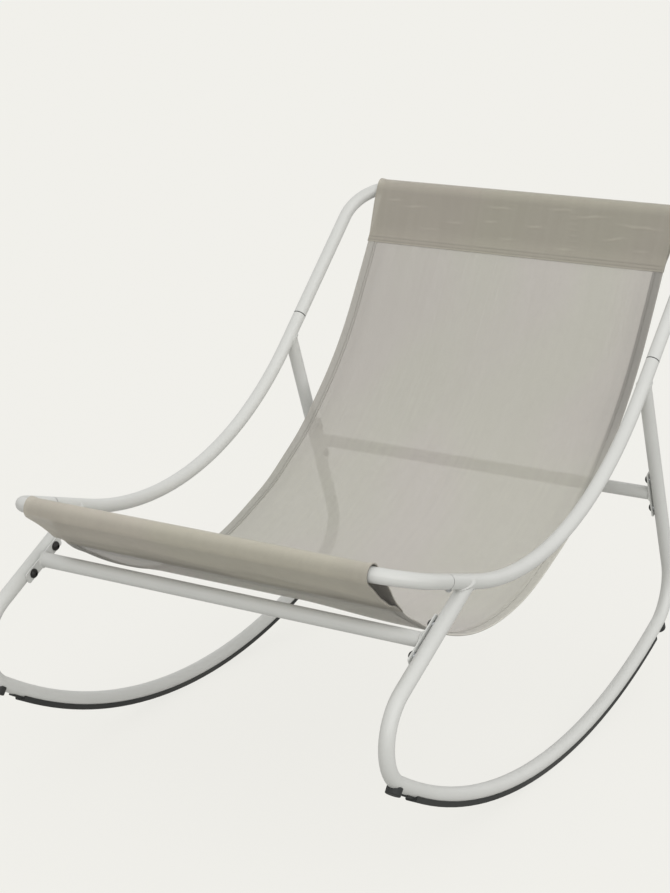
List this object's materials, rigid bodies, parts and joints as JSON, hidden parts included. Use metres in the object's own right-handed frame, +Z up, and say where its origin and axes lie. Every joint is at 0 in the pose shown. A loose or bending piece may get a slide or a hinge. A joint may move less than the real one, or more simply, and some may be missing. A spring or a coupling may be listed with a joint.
{
  "type": "rocking armchair",
  "caption": "Low rocking armchair: bent steel tube side frames on long curved rockers, joined by bolted braces, with a woven mesh sling hung between a front and a back bar.",
  "frame": {"origin": "on the floor under the middle of the chair's length and width, with the chair standing empty and in balance on its rockers", "axes": "+X is the width, towards the right side frame; +Y is the length, towards the chair's back; +Z is up"},
  "size_m": [0.624, 0.9948, 0.7208],
  "materials": {
    "tube": "satin",
    "bolt": "satin",
    "zinc": "satin",
    "rubber": "matte",
    "mesh": "matte",
    "mesh_doubled": "matte"
  },
  "bodies": {
    "root": {"side_rail_left": "tube", "side_rail_right": "tube", "rocker_tube_left": "tube", "rocker_tube_right": "tube", "front_bar": "tube", "back_bar": "tube", "frame_welds": "tube", "front_seam_screws": "zinc", "rear_seam_screws": "zinc", "front_brace_tube": "tube", "rear_brace_tube": "tube", "front_brace_plates": "tube", "rear_brace_plates": "tube", "brace_welds": "tube", "front_brace_bolts": "bolt", "rear_brace_bolts": "bolt", "front_rivet_nuts": "zinc", "rear_rivet_nuts": "zinc", "rocker_strip_left": "rubber", "rocker_strip_right": "rubber", "front_pad_left": "rubber", "front_pad_right": "rubber", "rear_pad_left": "rubber", "rear_pad_right": "rubber", "sling_panel": "mesh", "side_hem_left": "mesh_doubled", "side_hem_right": "mesh_doubled", "front_pocket": "mesh_doubled", "top_pocket": "mesh_doubled"}
  },
  "joints": []
}
